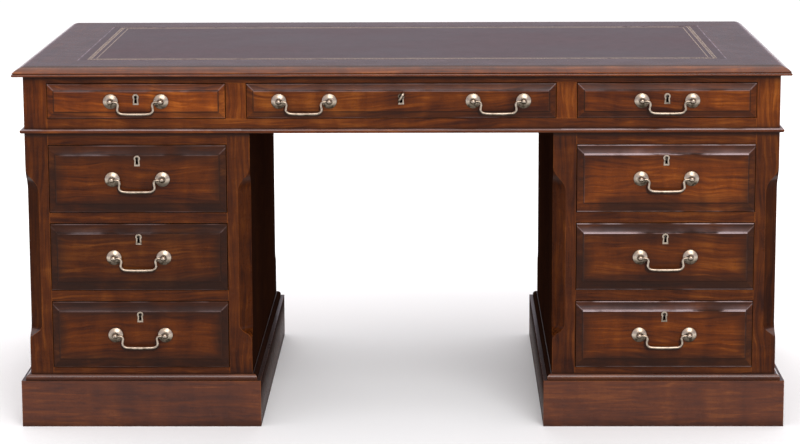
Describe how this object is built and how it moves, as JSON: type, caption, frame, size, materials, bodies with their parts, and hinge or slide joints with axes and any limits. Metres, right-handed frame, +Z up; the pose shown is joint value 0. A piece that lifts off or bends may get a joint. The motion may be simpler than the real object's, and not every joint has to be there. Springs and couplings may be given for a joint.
{
  "type": "partners desk",
  "caption": "Mahogany partners desk: leather-lined moulded top, drawer frieze, two drawer pedestals on plinths with cupboards behind, swan-neck bails and a turning key.",
  "frame": {"origin": "on the floor under the middle of the top", "axes": "+X along the desk to the front sitter's right, -Y towards the front sitter, +Z up"},
  "size_m": [1.6, 0.9, 0.76],
  "materials": {
    "mahogany": "polished mahogany",
    "inner_timber": "plain sanded hardwood",
    "leather": "oxblood hide, lightly polished",
    "brass": "pale antique brass"
  },
  "bodies": {
    "desk": {"top_border": "mahogany", "top_core_board": "inner_timber", "writing_leather": "leather", "frieze_posts": "mahogany", "frieze_rails": "mahogany", "frieze_end_panels": "mahogany", "frieze_partitions": "inner_timber", "frieze_runners": "inner_timber", "frieze_lip_moulding": "mahogany", "pedestal_posts": "mahogany", "pedestal_side_panels": "mahogany", "pedestal_rails": "mahogany", "pedestal_boards_and_runners": "inner_timber", "pedestal_plinths": "mahogany", "locating_dowels": "inner_timber", "cupboard_hinges": "brass"},
    "left_frieze_drawer": {"left_frieze_drawer": "mahogany", "left_frieze_drawer_fittings": "brass"},
    "left_frieze_drawer_handle": {"left_frieze_drawer_handle": "brass"},
    "centre_frieze_drawer": {"centre_frieze_drawer": "mahogany", "centre_frieze_drawer_fittings": "brass"},
    "centre_frieze_drawer_left_handle": {"centre_frieze_drawer_left_handle": "brass"},
    "centre_frieze_drawer_right_handle": {"centre_frieze_drawer_right_handle": "brass"},
    "centre_drawer_key": {"centre_drawer_key": "brass"},
    "centre_drawer_lock_bolt": {"centre_drawer_lock_bolt": "brass"},
    "right_frieze_drawer": {"right_frieze_drawer": "mahogany", "right_frieze_drawer_fittings": "brass"},
    "right_frieze_drawer_handle": {"right_frieze_drawer_handle": "brass"},
    "rear_left_frieze_drawer": {"rear_left_frieze_drawer": "mahogany", "rear_left_frieze_drawer_fittings": "brass"},
    "rear_left_frieze_drawer_handle": {"rear_left_frieze_drawer_handle": "brass"},
    "rear_centre_frieze_drawer": {"rear_centre_frieze_drawer": "mahogany", "rear_centre_frieze_drawer_fittings": "brass"},
    "rear_centre_frieze_drawer_left_handle": {"rear_centre_frieze_drawer_left_handle": "brass"},
    "rear_centre_frieze_drawer_right_handle": {"rear_centre_frieze_drawer_right_handle": "brass"},
    "rear_right_frieze_drawer": {"rear_right_frieze_drawer": "mahogany", "rear_right_frieze_drawer_fittings": "brass"},
    "rear_right_frieze_drawer_handle": {"rear_right_frieze_drawer_handle": "brass"},
    "left_bottom_drawer": {"left_bottom_drawer": "mahogany", "left_bottom_drawer_fittings": "brass"},
    "left_bottom_drawer_handle": {"left_bottom_drawer_handle": "brass"},
    "left_middle_drawer": {"left_middle_drawer": "mahogany", "left_middle_drawer_fittings": "brass"},
    "left_middle_drawer_handle": {"left_middle_drawer_handle": "brass"},
    "left_top_drawer": {"left_top_drawer": "mahogany", "left_top_drawer_fittings": "brass"},
    "left_top_drawer_handle": {"left_top_drawer_handle": "brass"},
    "right_bottom_drawer": {"right_bottom_drawer": "mahogany", "right_bottom_drawer_fittings": "brass"},
    "right_bottom_drawer_handle": {"right_bottom_drawer_handle": "brass"},
    "right_middle_drawer": {"right_middle_drawer": "mahogany", "right_middle_drawer_fittings": "brass"},
    "right_middle_drawer_handle": {"right_middle_drawer_handle": "brass"},
    "right_top_drawer": {"right_top_drawer": "mahogany", "right_top_drawer_fittings": "brass"},
    "right_top_drawer_handle": {"right_top_drawer_handle": "brass"},
    "left_cupboard_door": {"left_cupboard_door": "mahogany", "left_cupboard_door_fittings": "brass"},
    "right_cupboard_door": {"right_cupboard_door": "mahogany", "right_cupboard_door_fittings": "brass"}
  },
  "joints": [
    {"name": "left_frieze_drawer_slide", "type": "slide", "parent": "desk", "child": "left_frieze_drawer", "axis": [0, -1, 0], "range_m": [0, 0.3]},
    {"name": "left_frieze_drawer_handle_swing", "type": "hinge", "parent": "left_frieze_drawer", "child": "left_frieze_drawer_handle", "pos_m": [-0.547, -0.443, 0.687], "axis": [-1, 0, 0], "range_deg": [-18, 150]},
    {"name": "centre_frieze_drawer_slide", "type": "slide", "parent": "desk", "child": "centre_frieze_drawer", "axis": [0, -1, 0], "range_m": [0, 0.3]},
    {"name": "centre_frieze_drawer_left_handle_swing", "type": "hinge", "parent": "centre_frieze_drawer", "child": "centre_frieze_drawer_left_handle", "pos_m": [-0.2, -0.443, 0.687], "axis": [-1, 0, 0], "range_deg": [-18, 150]},
    {"name": "centre_frieze_drawer_right_handle_swing", "type": "hinge", "parent": "centre_frieze_drawer", "child": "centre_frieze_drawer_right_handle", "pos_m": [0.2, -0.443, 0.687], "axis": [-1, 0, 0], "range_deg": [-18, 150]},
    {"name": "centre_drawer_key_turn", "type": "hinge", "parent": "centre_frieze_drawer", "child": "centre_drawer_key", "pos_m": [0, -0.422, 0.696], "axis": [0, 1, 0], "range_deg": [-30, 60]},
    {"name": "centre_drawer_lock_bolt_slide", "type": "slide", "parent": "centre_frieze_drawer", "child": "centre_drawer_lock_bolt", "axis": [0, 0, 1], "range_m": [-0.0031, 0.0061]},
    {"name": "right_frieze_drawer_slide", "type": "slide", "parent": "desk", "child": "right_frieze_drawer", "axis": [0, -1, 0], "range_m": [0, 0.3]},
    {"name": "right_frieze_drawer_handle_swing", "type": "hinge", "parent": "right_frieze_drawer", "child": "right_frieze_drawer_handle", "pos_m": [0.547, -0.443, 0.687], "axis": [-1, 0, 0], "range_deg": [-18, 150]},
    {"name": "rear_left_frieze_drawer_slide", "type": "slide", "parent": "desk", "child": "rear_left_frieze_drawer", "axis": [0, 1, 0], "range_m": [0, 0.3]},
    {"name": "rear_left_frieze_drawer_handle_swing", "type": "hinge", "parent": "rear_left_frieze_drawer", "child": "rear_left_frieze_drawer_handle", "pos_m": [-0.547, 0.443, 0.687], "axis": [1, 0, 0], "range_deg": [-18, 150]},
    {"name": "rear_centre_frieze_drawer_slide", "type": "slide", "parent": "desk", "child": "rear_centre_frieze_drawer", "axis": [0, 1, 0], "range_m": [0, 0.3]},
    {"name": "rear_centre_frieze_drawer_left_handle_swing", "type": "hinge", "parent": "rear_centre_frieze_drawer", "child": "rear_centre_frieze_drawer_left_handle", "pos_m": [-0.2, 0.443, 0.687], "axis": [1, 0, 0], "range_deg": [-18, 150]},
    {"name": "rear_centre_frieze_drawer_right_handle_swing", "type": "hinge", "parent": "rear_centre_frieze_drawer", "child": "rear_centre_frieze_drawer_right_handle", "pos_m": [0.2, 0.443, 0.687], "axis": [1, 0, 0], "range_deg": [-18, 150]},
    {"name": "rear_right_frieze_drawer_slide", "type": "slide", "parent": "desk", "child": "rear_right_frieze_drawer", "axis": [0, 1, 0], "range_m": [0, 0.3]},
    {"name": "rear_right_frieze_drawer_handle_swing", "type": "hinge", "parent": "rear_right_frieze_drawer", "child": "rear_right_frieze_drawer_handle", "pos_m": [0.547, 0.443, 0.687], "axis": [1, 0, 0], "range_deg": [-18, 150]},
    {"name": "left_bottom_drawer_slide", "type": "slide", "parent": "desk", "child": "left_bottom_drawer", "axis": [0, -1, 0], "range_m": [0, 0.38]},
    {"name": "left_bottom_drawer_handle_swing", "type": "hinge", "parent": "left_bottom_drawer", "child": "left_bottom_drawer_handle", "pos_m": [-0.547, -0.443, 0.1945], "axis": [-1, 0, 0], "range_deg": [-18, 150]},
    {"name": "left_middle_drawer_slide", "type": "slide", "parent": "desk", "child": "left_middle_drawer", "axis": [0, -1, 0], "range_m": [0, 0.38]},
    {"name": "left_middle_drawer_handle_swing", "type": "hinge", "parent": "left_middle_drawer", "child": "left_middle_drawer_handle", "pos_m": [-0.547, -0.443, 0.3595], "axis": [-1, 0, 0], "range_deg": [-18, 150]},
    {"name": "left_top_drawer_slide", "type": "slide", "parent": "desk", "child": "left_top_drawer", "axis": [0, -1, 0], "range_m": [0, 0.38]},
    {"name": "left_top_drawer_handle_swing", "type": "hinge", "parent": "left_top_drawer", "child": "left_top_drawer_handle", "pos_m": [-0.547, -0.443, 0.5245], "axis": [-1, 0, 0], "range_deg": [-18, 150]},
    {"name": "right_bottom_drawer_slide", "type": "slide", "parent": "desk", "child": "right_bottom_drawer", "axis": [0, -1, 0], "range_m": [0, 0.38]},
    {"name": "right_bottom_drawer_handle_swing", "type": "hinge", "parent": "right_bottom_drawer", "child": "right_bottom_drawer_handle", "pos_m": [0.547, -0.443, 0.1945], "axis": [-1, 0, 0], "range_deg": [-18, 150]},
    {"name": "right_middle_drawer_slide", "type": "slide", "parent": "desk", "child": "right_middle_drawer", "axis": [0, -1, 0], "range_m": [0, 0.38]},
    {"name": "right_middle_drawer_handle_swing", "type": "hinge", "parent": "right_middle_drawer", "child": "right_middle_drawer_handle", "pos_m": [0.547, -0.443, 0.3595], "axis": [-1, 0, 0], "range_deg": [-18, 150]},
    {"name": "right_top_drawer_slide", "type": "slide", "parent": "desk", "child": "right_top_drawer", "axis": [0, -1, 0], "range_m": [0, 0.38]},
    {"name": "right_top_drawer_handle_swing", "type": "hinge", "parent": "right_top_drawer", "child": "right_top_drawer_handle", "pos_m": [0.547, -0.443, 0.5245], "axis": [-1, 0, 0], "range_deg": [-18, 150]},
    {"name": "left_cupboard_door_swing", "type": "hinge", "parent": "desk", "child": "left_cupboard_door", "pos_m": [-0.73125, 0.4258, 0.3595], "axis": [0, 0, 1], "range_deg": [0, 110]},
    {"name": "right_cupboard_door_swing", "type": "hinge", "parent": "desk", "child": "right_cupboard_door", "pos_m": [0.73125, 0.4258, 0.3595], "axis": [0, 0, -1], "range_deg": [0, 110]}
  ],
  "couplings": [
    {"joint": "centre_drawer_lock_bolt_slide", "follows": "centre_drawer_key_turn", "m_per_rad": 0.00573}
  ]
}
